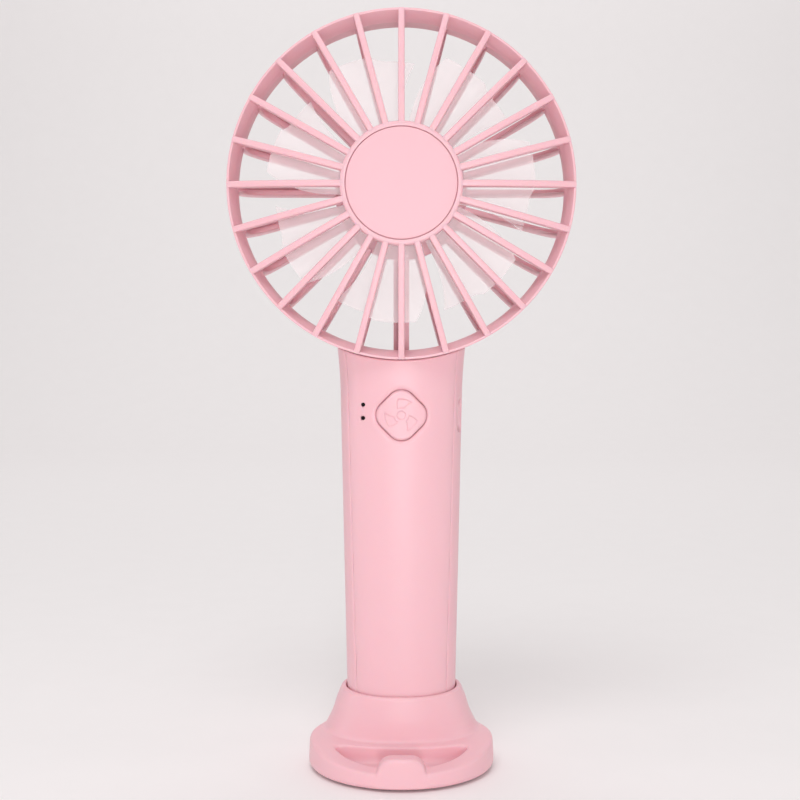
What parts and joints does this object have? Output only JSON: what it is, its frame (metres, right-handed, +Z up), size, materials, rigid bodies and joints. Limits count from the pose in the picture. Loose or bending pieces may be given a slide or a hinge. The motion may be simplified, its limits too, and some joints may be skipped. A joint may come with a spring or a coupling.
{
  "type": "handheld electric fan",
  "caption": "Handheld electric fan with a round finned head, seven-blade impeller and oval handle, standing in a round dock with a phone recess.",
  "frame": {"origin": "bottom centre of the round dock, on the surface that it stands on", "axes": "+Z up along the handle, -Y towards the front of the fan, +X towards the right of someone who faces the front of the fan"},
  "size_m": [0.1, 0.0544, 0.2196],
  "materials": {
    "pink_plastic": "satin moulded",
    "hub_disc": "satin moulded",
    "pink_inner_plastic": "matt moulded",
    "rubber": "matt",
    "ballast_steel": "zinc plated",
    "screw_steel": "zinc plated",
    "black_plastic": "matt",
    "stator_steel": "laminated",
    "copper": "enamelled wire",
    "circuit_board": "solder mask",
    "bearing_steel": "ground",
    "magnet": "sintered",
    "cell_wrap": "shrink wrap",
    "nickel": "plated",
    "foam": "closed-cell foam",
    "white_plastic": "moulded",
    "clear_plastic": "clear moulded",
    "inductor": "ferrite",
    "lead_insulation": "silicone",
    "frosted_blades": "frosted clear"
  },
  "bodies": {
    "dock": {"dock_shell": "pink_plastic", "dock_bottom_plate": "pink_inner_plastic", "dock_weight": "ballast_steel", "dock_foot": "rubber", "dock_screws": "screw_steel", "socket_pad": "rubber"},
    "handle": {"handle_front_shell": "pink_plastic", "handle_rear_shell": "pink_plastic", "handle_end_cap": "pink_inner_plastic", "head_shell": "pink_plastic", "front_grille": "pink_plastic", "hub_badge": "hub_disc", "rear_hub_cap": "pink_plastic", "motor_base": "black_plastic", "stator_core": "stator_steel", "stator_coils": "copper", "motor_board": "circuit_board", "front_bearing": "bearing_steel", "rear_bearing": "bearing_steel", "motor_screws": "screw_steel", "battery_cell": "cell_wrap", "cell_tabs": "nickel", "battery_pads": "foam", "main_board": "circuit_board", "usb_socket": "nickel", "switch_body": "black_plastic", "indicator_leds": "white_plastic", "light_pipes": "clear_plastic", "power_inductor": "inductor", "board_chips": "black_plastic", "battery_connector": "white_plastic", "motor_connector": "white_plastic", "battery_leads": "lead_insulation", "motor_leads": "lead_insulation", "board_screws": "screw_steel", "shell_screws": "screw_steel"},
    "rotor": {"impeller": "frosted_blades", "rotor_cup": "bearing_steel", "magnet_ring": "magnet", "motor_shaft": "bearing_steel", "shaft_clip": "screw_steel"},
    "power_button": {"button_cap": "pink_plastic", "switch_plunger": "white_plastic"}
  },
  "joints": [
    {"name": "fan_lift", "type": "slide", "parent": "dock", "child": "handle", "axis": [0, 0, 1], "range_m": [0, 0.03]},
    {"name": "impeller_spin", "type": "hinge", "parent": "handle", "child": "rotor", "pos_m": [0, 0.004, 0.1696], "axis": [0, 1, 0], "continuous": true},
    {"name": "button_press", "type": "slide", "parent": "handle", "child": "power_button", "axis": [0, 1, 0], "range_m": [0, 0.0005], "stiffness_N_per_m": 2000}
  ]
}
